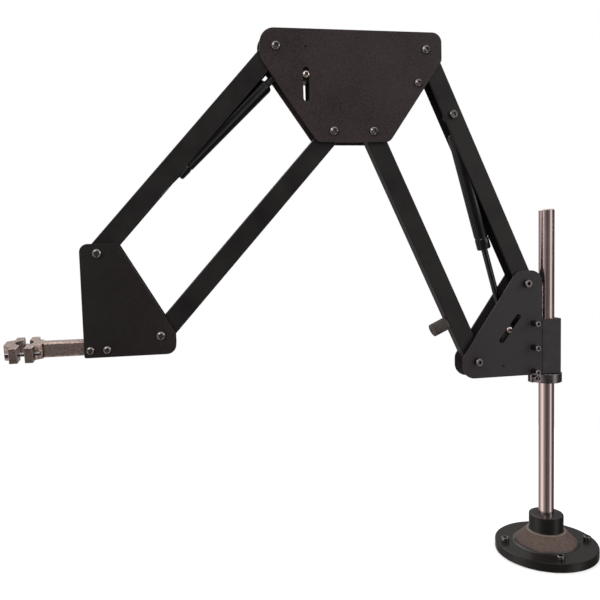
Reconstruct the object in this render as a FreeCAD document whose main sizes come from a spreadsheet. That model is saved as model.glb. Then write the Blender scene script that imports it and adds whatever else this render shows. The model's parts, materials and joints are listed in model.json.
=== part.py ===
import FreeCAD, Part
import math
import os
import Sketcher
from types import SimpleNamespace
from FreeCAD import Placement, Rotation, Vector

# Balanced folding support arm on a column. Millimetres, +Z up, arm reaching towards -X.
# The origin is the centre of the base flange's underside, on the column's axis.

SIZES = {
    # column and base
    "column_dia": 25.0,
    "column_top": 575.5,
    "column_foot": 6.0,
    "flange_dia": 167.0,
    "flange_thick": 14.5,
    "cone_foot_dia": 103.0,
    "cone_top_dia": 64.0,
    "cone_top_level": 36.5,
    "hub_dia": 56.0,
    "hub_top": 63.5,
    "base_bolt_circle": 138.0,
    "base_bolt_turn": 78.0,
    "base_bolt_length": 32.0,
    "base_waist_dia": 7.2,
    "grub_dia": 6.0,
    # shaft collar under the bearing block
    "collar_dia": 49.0,
    "collar_tall": 15.0,
    "collar_lug_reach": 31.0,
    "collar_lug_width": 14.0,
    "collar_split": 3.0,
    # bearing block that swivels on the column
    "block_wide": 34.0,
    "block_tall": 91.0,
    "block_bottom": 306.0,
    "tongue_reach": 23.0,
    "bush_wall": 1.5,
    "bush_long": 20.0,
    # plates
    "plate_thick": 3.0,
    "plate_gap": 28.0,
    "rim_break": 0.6,
    "plate_margin": 25.0,
    "elbow_margin": 30.0,
    # linkage
    "link_long": 400.0,
    "link_wide": 30.0,
    "outer_deep": 27.2,
    "inner_deep": 20.0,
    "wall": 1.8,
    "shoulder_x": -45.0,
    "shoulder_level": 456.0,
    "pivot_across": 85.0,
    "pivot_drop": 123.0,
    "elbow_span": 232.0,
    "lower_lean": 24.5,
    "forearm_lean": 42.0,
    # pivots
    "pivot_dia": 8.0,
    "sleeve_dia": 14.0,
    "running_gap": 0.05,
    "side_gap": 0.2,
    # screws
    "cap_head_dia": 13.0,
    "cap_head_tall": 8.0,
    "button_head_dia": 14.0,
    "button_head_tall": 4.4,
    "small_dia": 6.0,
    "small_head_dia": 10.0,
    "small_head_tall": 6.0,
    "bar_head_dia": 12.0,
    "nut_across": 13.0,
    "nut_tall": 8.0,
    "stand_off": 10.0,
    # gas springs
    "spring_dia": 22.0,
    "spring_tube": 190.0,
    "spring_wall": 1.5,
    "rod_dia": 10.0,
    "rod_long": 190.0,
    "eye_dia": 20.0,
    "eye_thick": 12.0,
    "fork_wide": 20.0,
    "eye_reach": 28.0,
    "rod_eye_reach": 17.0,
    "open_eye_play": 3.75,
    "piston_thick": 8.0,
    # spring anchors
    "lower_anchor_along": 294.0,
    "upper_anchor_along": 372.0,
    "anchor_pin_dia": 8.0,
    "slot_wide": 9.2,
    "lower_slot_long": 56.0,
    "upper_slot_long": 50.0,
    "slot_head_dia": 10.6,
    "slider_wide": 18.0,
    "trunnion_dia": 10.0,
    "trunnion_end_dia": 4.0,
    # buffers and stops
    "bumper_dia": 21.0,
    "bumper_long": 28.0,
    "bumper_along": 76.0,
    "stop_dia": 12.0,
    # head bar and tool clamp
    "bar_tall": 21.5,
    "bar_drop": 135.93,
    "bar_break": 2.5,
    "bar_screw_drop": 139.73,
    "bar_out": 81.5,
    "bar_in": 22.5,
    "shank_dia": 12.0,
    "shank_long": 24.0,
    "clamp_bore": 25.0,
    "clamp_wall": 14.0,
    "clamp_tall": 22.0,
    "clamp_gap": 9.5,
    "clamp_tilt": 8.5,
    "ear_thick": 11.5,
    "ear_margin": 17.5,
    "clamp_bolt_margin": 10.0,
    "clamp_bolt_long": 42.0,
}

doc = FreeCAD.newDocument("SupportArm")
sheet = doc.addObject("Spreadsheet::Sheet", "Sizes")
for row, (alias, size) in enumerate(SIZES.items(), start=1):
    sheet.set("A%d" % row, alias)
    sheet.set("B%d" % row, str(size))
    sheet.setAlias("B%d" % row, alias)
doc.recompute()
v = SimpleNamespace(**SIZES)

# Pieces of the arm are drawn in a flat frame, x along the piece and z towards the front (-Y).
UPRIGHT = Rotation(Vector(1, 0, 0), 90)
TAU = 2 * math.pi
parts = []


def bind(target, prop, words):
    """Tie one property to the sheet; words is a formula whose names are aliases."""
    pieces = []
    for word in words.split():
        pieces.append("Sizes." + word if word.strip("()") in SIZES else word)
    target.setExpression(prop, " ".join(pieces))


def keep(piece):
    parts.append(piece)
    return piece


def new_body(label):
    body = doc.addObject("PartDesign::Body", label)
    body.Label = label
    return body


def new_sketch(body, name, role="XY_Plane"):
    plane = next(o for o in body.Origin.OriginFeatures if o.Role == role)
    sketch = body.newObject("Sketcher::SketchObject", body.Label + "_" + name)
    sketch.AttachmentSupport = [(plane, "")]
    sketch.MapMode = "FlatFace"
    return sketch


def add_circle(sketch, x, y, words, radius):
    """A circle at a fixed centre whose radius follows the sheet."""
    index = sketch.addGeometry(Part.Circle(Vector(x, y, 0), Vector(0, 0, 1), radius), False)
    place = sketch.addConstraint(Sketcher.Constraint("Radius", index, radius))
    bind(sketch, "Constraints[%d]" % place, words)


def add_outline(sketch, corners):
    """A closed outline through corners (x, y, radius), each corner rounded by an arc."""
    count = len(corners)
    ends = []
    for i, (x, y, radius) in enumerate(corners):
        here = Vector(x, y, 0)
        before = (Vector(*corners[i - 1][:2], 0) - here).normalize()
        after = (Vector(*corners[(i + 1) % count][:2], 0) - here).normalize()
        if radius <= 0:
            ends.append((here, here, None))
            continue
        half = before.getAngle(after) / 2
        reach = radius / math.tan(half)
        middle = here + (before + after).normalize() * (radius / math.sin(half) - radius)
        ends.append((here + before * reach, here + after * reach, middle))
    for i, (start, stop, middle) in enumerate(ends):
        if middle is not None:
            sketch.addGeometry(Part.Arc(start, middle, stop), False)
        following = ends[(i + 1) % count][0]
        if (following - stop).Length > 1e-6:
            sketch.addGeometry(Part.LineSegment(stop, following), False)


def add_hexagon(sketch, x, y, across):
    reach = across / math.sqrt(3)
    corners = [(x + reach * math.cos(k * TAU / 6), y + reach * math.sin(k * TAU / 6), 0) for k in range(6)]
    add_outline(sketch, corners)


def pad(body, sketch, words, midplane=False, reverse=False):
    feature = body.newObject("PartDesign::Pad", sketch.Name + "_pad")
    feature.Profile = sketch
    feature.Midplane = midplane
    feature.Reversed = reverse
    bind(feature, "Length", words)
    doc.recompute()
    return feature


def pocket(body, sketch, words, midplane=True, reverse=False):
    """A cut that must take material away."""
    before = body.Shape.Volume
    feature = body.newObject("PartDesign::Pocket", sketch.Name + "_cut")
    feature.Profile = sketch
    feature.Midplane = midplane
    feature.Reversed = reverse
    bind(feature, "Length", words)
    doc.recompute()
    if body.Shape.Volume > before - 1e-3:
        raise RuntimeError("cut removed nothing: " + sketch.Name)
    return feature


def drill(body, name, places, words, radius, through="plate_gap * 4"):
    """Round holes through the whole piece along its flat frame's z."""
    sketch = new_sketch(body, name)
    for x, y in places:
        add_circle(sketch, x, y, words, radius)
    return pocket(body, sketch, through)


def soften(body, words, kind="Fillet", level=None):
    """Round or bevel the flat-lying edges at one level, or with no level both rims of a flat piece."""
    tip = body.Tip
    names = []
    for i, edge in enumerate(tip.Shape.Edges, start=1):
        box = edge.BoundBox
        if box.ZLength < 1e-6 and (level is None or abs(box.ZMin - level) < 1e-6):
            names.append("Edge%d" % i)
    feature = body.newObject("PartDesign::" + kind, body.Label + "_" + kind.lower())
    feature.Base = (tip, names)
    bind(feature, "Radius" if kind == "Fillet" else "Size", words)
    doc.recompute()
    return feature


def cylinder(name, dia_words, tall_words, base=Vector(), turn=Rotation()):
    piece = doc.addObject("Part::Cylinder", name)
    bind(piece, "Radius", "( " + dia_words + " ) / 2")
    bind(piece, "Height", tall_words)
    piece.Placement = Placement(base, turn)
    return piece


def cut(label, base, tool):
    piece = doc.addObject("Part::Cut", label)
    piece.Label = label
    piece.Base = base
    piece.Tool = tool
    return piece


def fuse(label, pieces):
    piece = doc.addObject("Part::MultiFuse", label)
    piece.Label = label
    piece.Shapes = pieces
    piece.Refine = True
    return piece


def group(label, master, places):
    """Identical pieces as one node of separate solids."""
    copies = []
    for i, place in enumerate(places):
        copy = doc.addObject("App::Link", "%s_%d" % (label, i))
        copy.setLink(master)
        copy.Placement = place
        copies.append(copy)
    piece = doc.addObject("Part::Compound", label)
    piece.Label = label
    piece.Links = copies
    return keep(piece)


def screw(name, dia, long, head_dia, head_tall, hex_across, edge):
    """A socket screw: the head stands on z = 0 and the shank runs down to -long."""
    body = new_body(name)
    head = new_sketch(body, "head")
    add_circle(head, 0, 0, head_dia + " / 2", 5)
    pad(body, head, head_tall)
    soften(body, edge, level=body.Shape.BoundBox.ZMax)
    socket = new_sketch(body, "socket")
    add_hexagon(socket, 0, 0, hex_across)
    socket.AttachmentOffset = Placement(Vector(0, 0, body.Shape.BoundBox.ZMax), Rotation())
    pocket(body, socket, head_tall + " * 0.55", midplane=False)
    shank = new_sketch(body, "shank")
    add_circle(shank, 0, 0, dia + " / 2", 3)
    pad(body, shank, long, reverse=True)
    soften(body, dia + " * 0.1", "Chamfer", body.Shape.BoundBox.ZMin)
    return body


def nut(name, across, bore, tall):
    body = new_body(name)
    sides = new_sketch(body, "sides")
    add_hexagon(sides, 0, 0, SIZES[across])
    pad(body, sides, tall)
    drill(body, "bore", [(0, 0)], bore + " / 2 + running_gap", 4)
    return body


def front(x, z, y):
    """Placement of a screw whose head faces the front, its seat at y."""
    return Placement(Vector(x, y, z), UPRIGHT)


def back(x, z, y):
    """Placement of a screw whose head faces the back, its seat at y."""
    return Placement(Vector(x, y, z), Rotation(Vector(1, 0, 0), -90))


def along(origin, angle, y=0.0):
    """Placement of a flat piece whose x runs at an angle in the XZ plane."""
    return Placement(Vector(origin[0], y, origin[1]), UPRIGHT.multiply(Rotation(Vector(0, 0, 1), angle)))


# Pivot centres of the two parallelograms, in the XZ plane.
def shifted(point, dx, dz):
    return (point[0] + dx, point[1] + dz)


lean = math.radians(v.lower_lean)
fore = math.radians(v.forearm_lean)
rise = (-v.link_long * math.sin(lean), v.link_long * math.cos(lean))
reach = (-v.link_long * math.sin(fore), -v.link_long * math.cos(fore))
shoulder_outer = (v.shoulder_x, v.shoulder_level)
shoulder_inner = shifted(shoulder_outer, -v.pivot_across, -v.pivot_drop)
elbow_lower_outer = shifted(shoulder_outer, *rise)
elbow_lower_inner = shifted(shoulder_inner, *rise)
elbow_fore_outer = shifted(elbow_lower_outer, -v.elbow_span, 0)
elbow_fore_inner = shifted(elbow_fore_outer, v.pivot_across, -v.pivot_drop)
head_outer = shifted(elbow_fore_outer, *reach)
head_inner = shifted(elbow_fore_inner, *reach)
lower_angle = 90 + v.lower_lean
forearm_angle = 270 - v.forearm_lean

half_gap = v.plate_gap / 2
plate_face = half_gap + v.plate_thick
# The slot, the slider in it and the adjusting screw's cross pin of each gas spring.
lower_slot = shifted(shoulder_outer, -28.5, -72.0)
lower_slot_angle = 52.5
lower_slider = shifted(shoulder_outer, -30.0, -74.0)
lower_trunnion = shifted(shoulder_outer, -40.5, -132.4)
upper_slot = shifted(elbow_fore_outer, 44.0, -54.5)
upper_slider = shifted(elbow_fore_outer, 44.0, -40.5)
upper_trunnion = shifted(elbow_fore_outer, 44.0, 0.0)
upper_eye = shifted(elbow_fore_outer, 7.0, -33.0)
stop_centre = shifted(elbow_lower_outer, -13.0, -50.0)


# Base: a turned flange with a cone and a hub, the column let into the hub.
flange = new_body("base_flange")
outline = new_sketch(flange, "profile", "XZ_Plane")
edge = 1.5
flange_points = [
    (0, 0, 0),
    (v.flange_dia / 2, 0, 0),
    (v.flange_dia / 2, v.flange_thick, edge),
    (v.cone_foot_dia / 2, v.flange_thick, 3),
    (v.cone_foot_dia / 2 - 2, v.flange_thick + 2.5, 2),
    (v.cone_top_dia / 2, v.cone_top_level, edge),
    (v.hub_dia / 2, v.cone_top_level + 3, 1),
    (v.hub_dia / 2, v.hub_top, edge),
    (0, v.hub_top, 0),
]
add_outline(outline, flange_points)
turned = flange.newObject("PartDesign::Revolution", "flange_turned")
turned.Profile = outline
turned.ReferenceAxis = (outline, ["V_Axis"])
turned.Angle = 360
doc.recompute()
seat = new_sketch(flange, "column_seat")
add_circle(seat, 0, 0, "column_dia / 2", 12)
seat.AttachmentOffset = Placement(Vector(0, 0, v.column_foot), Rotation())
doc.recompute()
pocket(flange, seat, "hub_top", midplane=False, reverse=True)
bolt_places = []
for k in range(4):
    angle = math.radians(v.base_bolt_turn + 90 * k)
    bolt_places.append((v.base_bolt_circle / 2 * math.cos(angle), v.base_bolt_circle / 2 * math.sin(angle)))
drill(flange, "bolt_holes", bolt_places, "pivot_dia / 2 + 0.5", 4.5, "flange_thick * 4")
grub_hole = new_sketch(flange, "grub_hole", "XZ_Plane")
grub_level = (v.cone_top_level + v.hub_top) / 2 + 1
add_circle(grub_hole, 0, grub_level, "grub_dia / 2", 3)
pocket(flange, grub_hole, "hub_dia", midplane=False, reverse=False)
keep(flange)

base_screw = screw("base_screw", "pivot_dia", "base_bolt_length", "cap_head_dia", "cap_head_tall", 6,
                   "pivot_dia * 0.1")
waist = new_sketch(base_screw, "waist")
add_circle(waist, 0, 0, "pivot_dia / 2 + 1", 5)
add_circle(waist, 0, 0, "base_waist_dia / 2", 3.6)
pocket(base_screw, waist, "flange_thick", midplane=False)
base_seats = [Placement(Vector(x, y, v.flange_thick), Rotation()) for x, y in bolt_places]
group("base_screws", base_screw, base_seats)

column = new_body("column")
round_bar = new_sketch(column, "section")
add_circle(round_bar, 0, 0, "column_dia / 2", 12)
pad(column, round_bar, "column_top - column_foot")
soften(column, "wall", "Chamfer", v.column_top - v.column_foot)
column.Placement.Base = Vector(0, 0, v.column_foot)
keep(column)

hub_wall = (v.hub_dia - v.column_dia) / 2
grub = new_body("column_grub_screw")
grub_round = new_sketch(grub, "round")
add_circle(grub_round, 0, 0, "grub_dia / 2", 3)
pad(grub, grub_round, "( hub_dia - column_dia ) / 2 - 1")
grub_socket = new_sketch(grub, "socket")
add_hexagon(grub_socket, 0, 0, v.grub_dia / 2)
grub_socket.AttachmentOffset = Placement(Vector(0, 0, hub_wall - 1), Rotation())
pocket(grub, grub_socket, "grub_dia / 2", midplane=False)
grub.Placement = Placement(Vector(0, v.column_dia / 2, grub_level), Rotation(Vector(1, 0, 0), -90))
keep(grub)

# Split shaft collar: it carries the bearing block and slides on the column when its screw is slack.
# The screw stands in a notch in the ring.
collar = new_body("shaft_collar")
ring = new_sketch(collar, "ring")
add_circle(ring, 0, 0, "collar_dia / 2", 22)
pad(collar, ring, "collar_tall")
lug = new_sketch(collar, "lug")
lug_side = v.collar_lug_width / 2
lug_corners = [
    (-v.collar_lug_reach, -lug_side, 4),
    (-v.column_dia / 2, -lug_side, 0),
    (-v.column_dia / 2, lug_side, 0),
    (-v.collar_lug_reach, lug_side, 4),
]
add_outline(lug, lug_corners)
pad(collar, lug, "collar_tall")
soften(collar, "rim_break", "Chamfer")
drill(collar, "bore", [(0, 0)], "column_dia / 2 + running_gap", 12)
split = new_sketch(collar, "split")
split_side = v.collar_split / 2
split_corners = [
    (-v.collar_lug_reach - 1, -split_side, 0),
    (0, -split_side, 0),
    (0, split_side, 0),
    (-v.collar_lug_reach - 1, split_side, 0),
]
add_outline(split, split_corners)
pocket(collar, split, "collar_tall * 3")
collar_bottom = v.block_bottom - v.side_gap - v.collar_tall
lug_hole_x = -(v.column_dia / 2 + v.collar_lug_reach) / 2 - 3
lug_hole = new_sketch(collar, "lug_hole", "XZ_Plane")
add_circle(lug_hole, lug_hole_x, v.collar_tall / 2, "small_dia / 2 + running_gap", 3)
pocket(collar, lug_hole, "collar_dia * 2")
head_notch = new_sketch(collar, "head_notch", "XZ_Plane")
head_notch.AttachmentOffset = Placement(Vector(0, 0, lug_side), Rotation())
add_circle(head_notch, lug_hole_x, v.collar_tall / 2, "small_head_dia / 2 + side_gap", 5)
pocket(collar, head_notch, "collar_dia", midplane=False, reverse=True)
collar.Placement.Base = Vector(0, 0, collar_bottom)
keep(collar)

small_screw = screw("collar_screw_shape", "small_dia", "collar_lug_width - 2", "small_head_dia",
                    "small_head_tall", 5, "small_dia * 0.1")
group("collar_screw", small_screw, [front(lug_hole_x, collar_bottom + v.collar_tall / 2, -lug_side)])

# Bearing block with a tongue between the shoulder plates; plain bushes run on the column.
bearing = new_body("bearing_block")
block_side = v.block_wide / 2
square = new_sketch(bearing, "square")
add_outline(square, [(-block_side, -block_side, 1), (block_side, -block_side, 2),
                     (block_side, block_side, 2), (-block_side, block_side, 1)])
pad(bearing, square, "block_tall")
tongue = new_sketch(bearing, "tongue")
tongue_end = -block_side - v.tongue_reach
add_outline(tongue, [(tongue_end, -half_gap, 1), (0, -half_gap, 0),
                     (0, half_gap, 0), (tongue_end, half_gap, 1)])
pad(bearing, tongue, "block_tall")
soften(bearing, "rim_break", "Chamfer")
drill(bearing, "bore", [(0, 0)], "column_dia / 2 + bush_wall", 14, "block_tall * 4")
block_screw_x = -block_side - v.tongue_reach * 0.7
block_screw_levels = [6.0, v.block_tall / 2, v.block_tall - 6.0]
threads = new_sketch(bearing, "threads", "XZ_Plane")
for level in block_screw_levels:
    add_circle(threads, block_screw_x, level, "small_dia / 2", 3)
pocket(bearing, threads, "block_wide * 2")
bearing.Placement.Base = Vector(0, 0, v.block_bottom)
keep(bearing)

bush = new_body("column_bush")
bush_ring = new_sketch(bush, "ring")
add_circle(bush_ring, 0, 0, "column_dia / 2 + bush_wall", 14)
pad(bush, bush_ring, "bush_long")
drill(bush, "bore", [(0, 0)], "column_dia / 2 + running_gap", 12)
upper_bush_level = v.block_bottom + v.block_tall - v.bush_long
bush_places = [Placement(Vector(0, 0, z), Rotation()) for z in (v.block_bottom, upper_bush_level)]
group("column_bushes", bush, bush_places)


def plate_pair(label, corners, holes, small_holes, slots):
    """Two equal side plates with pivot holes, screw holes and adjusting slots."""
    for side, y in (("front", -half_gap), ("back", plate_face)):
        plate = new_body(label + "_plate_" + side)
        outline_sketch = new_sketch(plate, "outline")
        add_outline(outline_sketch, corners)
        pad(plate, outline_sketch, "plate_thick")
        soften(plate, "rim_break")
        drill(plate, "pivot_holes", holes, "pivot_dia / 2 + running_gap", 4)
        if small_holes:
            drill(plate, "screw_holes", small_holes, "small_dia / 2 + running_gap", 3)
        for (cx, cz), angle, slot_long, trunnion in slots:
            slot = new_sketch(plate, "slot")
            c, s = math.cos(math.radians(angle)), math.sin(math.radians(angle))
            side_x, side_z = -s * v.slot_wide / 2, c * v.slot_wide / 2
            run = slot_long / 2
            corner = v.slot_wide * 0.499
            ends = [(-run, -1), (run, -1), (run, 1), (-run, 1)]
            add_outline(slot, [(cx + a * c + b * side_x, cz + a * s + b * side_z, corner) for a, b in ends])
            pocket(plate, slot, "plate_thick * 4")
            drill(plate, "trunnion_hole", [trunnion], "trunnion_end_dia / 2 + running_gap", 2)
        plate.Placement = Placement(Vector(0, y, 0), UPRIGHT)
        keep(plate)


# Edge of a plate that runs beside the line of two pivots, at a margin from it.
slope = Vector(v.pivot_across, v.pivot_drop, 0).normalize()


def beside(point, margin, level, mirror=1):
    """Point at a level on the line parallel to the pivots, a margin outside it."""
    x = point[0] - mirror * margin * slope.y
    z = point[1] + margin * slope.x
    return x + mirror * (level - z) * slope.x / slope.y


plate_right = -block_side - 0.3
shoulder_top = v.shoulder_level + 21
shoulder_foot = shoulder_inner[1] - 27
shoulder_left = shoulder_inner[0] - v.plate_margin
shoulder_shift = shoulder_left - beside(shoulder_inner, v.plate_margin, shoulder_inner[1])
shoulder_corners = [
    (shoulder_left, shoulder_foot, 20),
    (plate_right, shoulder_foot, 4),
    (plate_right, shoulder_top, 20),
    (beside(shoulder_outer, v.plate_margin, shoulder_top), shoulder_top, 16),
    (shoulder_left, shoulder_inner[1] + shoulder_shift * slope.y / slope.x, 16),
]
block_holes = [(block_screw_x, v.block_bottom + level) for level in block_screw_levels]
plate_pair("shoulder", shoulder_corners, [shoulder_outer, shoulder_inner], block_holes,
           [(lower_slot, lower_slot_angle, v.lower_slot_long, lower_trunnion)])

elbow_top = elbow_lower_outer[1] + 26
elbow_foot = elbow_fore_inner[1] - 16.5
elbow_left = elbow_fore_outer[0] - 24
elbow_right = elbow_lower_outer[0] + 25


def elbow_edge(level, outer, direction):
    """The elbow's slanted edge at a level, outside the pivots of one link pair."""
    x = outer[0] + direction * v.elbow_margin * slope.y
    z = outer[1] - v.elbow_margin * slope.x
    return x - direction * (z - level) * slope.x / slope.y


def elbow_edge_level(x_target, outer, direction):
    x = outer[0] + direction * v.elbow_margin * slope.y
    z = outer[1] - v.elbow_margin * slope.x
    return z - direction * (x - x_target) * slope.y / slope.x


elbow_corners = [
    (elbow_edge(elbow_foot, elbow_fore_outer, -1), elbow_foot, 10),
    (elbow_edge(elbow_foot, elbow_lower_outer, 1), elbow_foot, 14),
    (elbow_right, elbow_edge_level(elbow_right, elbow_lower_outer, 1), 12),
    (elbow_right, elbow_top, 15),
    (elbow_left, elbow_top, 22),
    (elbow_left, elbow_edge_level(elbow_left, elbow_fore_outer, -1), 16),
]
elbow_pivots = [elbow_lower_outer, elbow_lower_inner, elbow_fore_outer, elbow_fore_inner]
plate_pair("elbow", elbow_corners, elbow_pivots, [stop_centre],
           [(upper_slot, 90, v.upper_slot_long, upper_trunnion)])

bar_screw_level = head_outer[1] - v.bar_screw_drop
bar_screw_places = [(head_outer[0] - 15.5, bar_screw_level), (head_outer[0] + 8, bar_screw_level)]
head_left = head_outer[0] - 24.5
head_right = head_inner[0] + 21.5
head_top = head_outer[1] + 14
head_foot = head_inner[1] - 27.5
head_corners = [
    (head_left, head_foot, 3),
    (head_right, head_foot, 14),
    (head_right, head_inner[1] + 3, 8),
    (head_outer[0] + 29, head_top, 2),
    (head_left, head_top, 12),
]
plate_pair("head", head_corners, [head_outer, head_inner], bar_screw_places, [])

# Screws that hold the shoulder plates on the tongue, raised on stand-off sleeves.
block_screw = screw("block_screw", "small_dia", "plate_thick + stand_off + 9", "small_head_dia",
                    "small_head_tall", 5, "small_dia * 0.1")
block_seat = plate_face + v.stand_off
block_screw_places = [front(x, z, -block_seat) for x, z in block_holes]
block_screw_places += [back(x, z, block_seat) for x, z in block_holes]
group("block_screws", block_screw, block_screw_places)

standoff = new_body("standoff")
standoff_ring = new_sketch(standoff, "ring")
add_circle(standoff_ring, 0, 0, "small_head_dia / 2", 5)
pad(standoff, standoff_ring, "stand_off")
drill(standoff, "bore", [(0, 0)], "small_dia / 2 + running_gap", 3)
standoff_places = [front(x, z, -plate_face) for x, z in block_holes]
standoff_places += [back(x, z, plate_face) for x, z in block_holes]
group("block_screw_sleeves", standoff, standoff_places)

# Pivot bolts: cap heads at the shoulder, button heads elsewhere, nuts at the back.
bolt_words = "plate_gap + plate_thick * 2 + nut_tall + 2"
shoulder_bolt = screw("shoulder_bolt", "pivot_dia", bolt_words, "cap_head_dia", "cap_head_tall", 6,
                      "pivot_dia * 0.1")
button_bolt = screw("button_bolt", "pivot_dia", bolt_words, "button_head_dia", "button_head_tall", 5,
                    "button_head_tall * 0.7")
pivot_nut = nut("pivot_nut", "nut_across", "pivot_dia", "nut_tall")
shoulder_pivots = [shoulder_outer, shoulder_inner]
group("shoulder_pivot_bolts", shoulder_bolt, [front(x, z, -plate_face) for x, z in shoulder_pivots])
group("shoulder_pivot_nuts", pivot_nut, [back(x, z, plate_face) for x, z in shoulder_pivots])
group("elbow_pivot_bolts", button_bolt, [front(x, z, -plate_face) for x, z in elbow_pivots])
group("elbow_pivot_nuts", pivot_nut, [back(x, z, plate_face) for x, z in elbow_pivots])
head_pivots = [head_outer, head_inner]
group("head_pivot_bolts", button_bolt, [front(x, z, -plate_face) for x, z in head_pivots])
group("head_pivot_nuts", pivot_nut, [back(x, z, plate_face) for x, z in head_pivots])


def link(label, start, angle, deep_words, open_side, anchor_along=None, anchor_words=""):
    """A link folded from sheet: a channel open on one side, or a closed section with open ends."""
    body = new_body(label)
    half = v.link_wide / 2
    outline_sketch = new_sketch(body, "outline")
    round_end = half * 0.999
    add_outline(outline_sketch, [(-half, -half, round_end), (v.link_long + half, -half, round_end),
                                 (v.link_long + half, half, round_end), (-half, half, round_end)])
    pad(body, outline_sketch, deep_words, midplane=True)
    soften(body, "wall * 0.8")
    hollow = new_sketch(body, "hollow")
    low = -half + v.wall
    high = half + 1 if open_side else half - v.wall
    end = half + 1
    add_outline(hollow, [(-end, low, 0), (v.link_long + end, low, 0),
                         (v.link_long + end, high, 0), (-end, high, 0)])
    pocket(body, hollow, deep_words + " - wall * 2")
    drill(body, "pivots", [(0, 0), (v.link_long, 0)], "sleeve_dia / 2", 7)
    if anchor_along:
        drill(body, "anchor", [(anchor_along, 0)], anchor_words + " / 2", 4)
    body.Placement = along(start, angle)
    keep(body)
    sleeve = new_body(label + "_sleeve")
    sleeve_ring = new_sketch(sleeve, "ring")
    add_circle(sleeve_ring, 0, 0, "sleeve_dia / 2", 7)
    pad(sleeve, sleeve_ring, "plate_gap - side_gap * 2", midplane=True)
    drill(sleeve, "bore", [(0, 0)], "pivot_dia / 2 + running_gap", 4)
    ends = [start, shifted(start, v.link_long * math.cos(math.radians(angle)),
                           v.link_long * math.sin(math.radians(angle)))]
    group(label.replace("link", "sleeves"), sleeve, [along(end, angle) for end in ends])
    return body


link("lower_outer_link", shoulder_outer, lower_angle, "outer_deep", True,
     v.lower_anchor_along, "anchor_pin_dia")
link("lower_inner_link", shoulder_inner, lower_angle, "inner_deep", False)
link("forearm_outer_link", elbow_fore_outer, forearm_angle, "outer_deep", True,
     v.upper_anchor_along, "small_dia")
link("forearm_inner_link", elbow_fore_inner, forearm_angle, "inner_deep", False)


def on_line(start, angle, distance, aside=0.0):
    """Point at a distance along a line and aside from it, to its left."""
    c, s = math.cos(math.radians(angle)), math.sin(math.radians(angle))
    return shifted(start, distance * c - aside * s, distance * s + aside * c)


# Rubber bumper on the lower inner link, facing away from the column.
bumper_root = on_line(shoulder_inner, lower_angle, v.bumper_along, v.link_wide / 2)
link_turn = UPRIGHT.multiply(Rotation(Vector(0, 0, 1), lower_angle))
bumper_turn = link_turn.multiply(Rotation(Vector(1, 0, 0), -90))
bumper = new_body("bumper")
bumper_round = new_sketch(bumper, "round")
add_circle(bumper_round, 0, 0, "bumper_dia / 2", 10)
pad(bumper, bumper_round, "bumper_long")
soften(bumper, "wall", level=v.bumper_long)
bumper.Placement = Placement(Vector(bumper_root[0], 0, bumper_root[1]), bumper_turn)
keep(bumper)

# Bolt of the lower gas spring through the lower outer link, and the pin of the upper one.
lower_anchor = on_line(shoulder_outer, lower_angle, v.lower_anchor_along)
upper_anchor = on_line(elbow_fore_outer, forearm_angle, v.upper_anchor_along)
anchor_bolt = screw("anchor_bolt_shape", "anchor_pin_dia", "outer_deep + 2", "cap_head_dia",
                    "cap_head_tall * 0.6", 6, "pivot_dia * 0.1")
group("spring_anchor_bolt", anchor_bolt, [front(*lower_anchor, -v.outer_deep / 2)])
forearm_pin = new_body("forearm_spring_pin")
pin_round = new_sketch(forearm_pin, "round")
add_circle(pin_round, 0, 0, "small_dia / 2", 3)
pad(forearm_pin, pin_round, "outer_deep", midplane=True)
forearm_pin.Placement = along(upper_anchor, 0)
keep(forearm_pin)


def spring_tube(label, place):
    """Pressure tube: closed at the eye's end, with a rod guide formed at the other."""
    shell = new_body(label + "_tube")
    profile = new_sketch(shell, "profile", "XZ_Plane")
    outer = v.spring_dia / 2
    inner = outer - v.spring_wall
    guide = v.rod_dia / 2 + v.running_gap
    far = v.spring_tube
    add_outline(profile, [
        (0, 0, 0),
        (outer, 0, 1.5),
        (outer, far, 2),
        (guide, far, 0),
        (guide, far - 8, 0),
        (inner, far - 8, 0),
        (inner, 3, 0),
        (0, 3, 0),
    ])
    turned_tube = shell.newObject("PartDesign::Revolution", label + "_turned")
    turned_tube.Profile = profile
    turned_tube.ReferenceAxis = (profile, ["V_Axis"])
    turned_tube.Angle = 360
    doc.recompute()
    shell.Placement = place.multiply(Placement(Vector(v.eye_reach, 0, 0), Rotation(Vector(0, 1, 0), 90)))
    return keep(shell)


def spring_eye(label, place, reach_words, bore_words):
    """Flat eye on a round neck; x = 0 is the eye's centre and the neck runs along +x."""
    disc = cylinder(label + "_disc", "eye_dia", "eye_thick", Vector(0, 0, -v.eye_thick / 2))
    neck = cylinder(label + "_neck", "eye_dia * 0.55", reach_words, Vector(), Rotation(Vector(0, 1, 0), 90))
    solid = fuse(label + "_solid", [disc, neck])
    hole = cylinder(label + "_bore", bore_words, "eye_thick * 2", Vector(0, 0, -v.eye_thick))
    eye = cut(label, solid, hole)
    eye.Placement = place
    return keep(eye)


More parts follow.
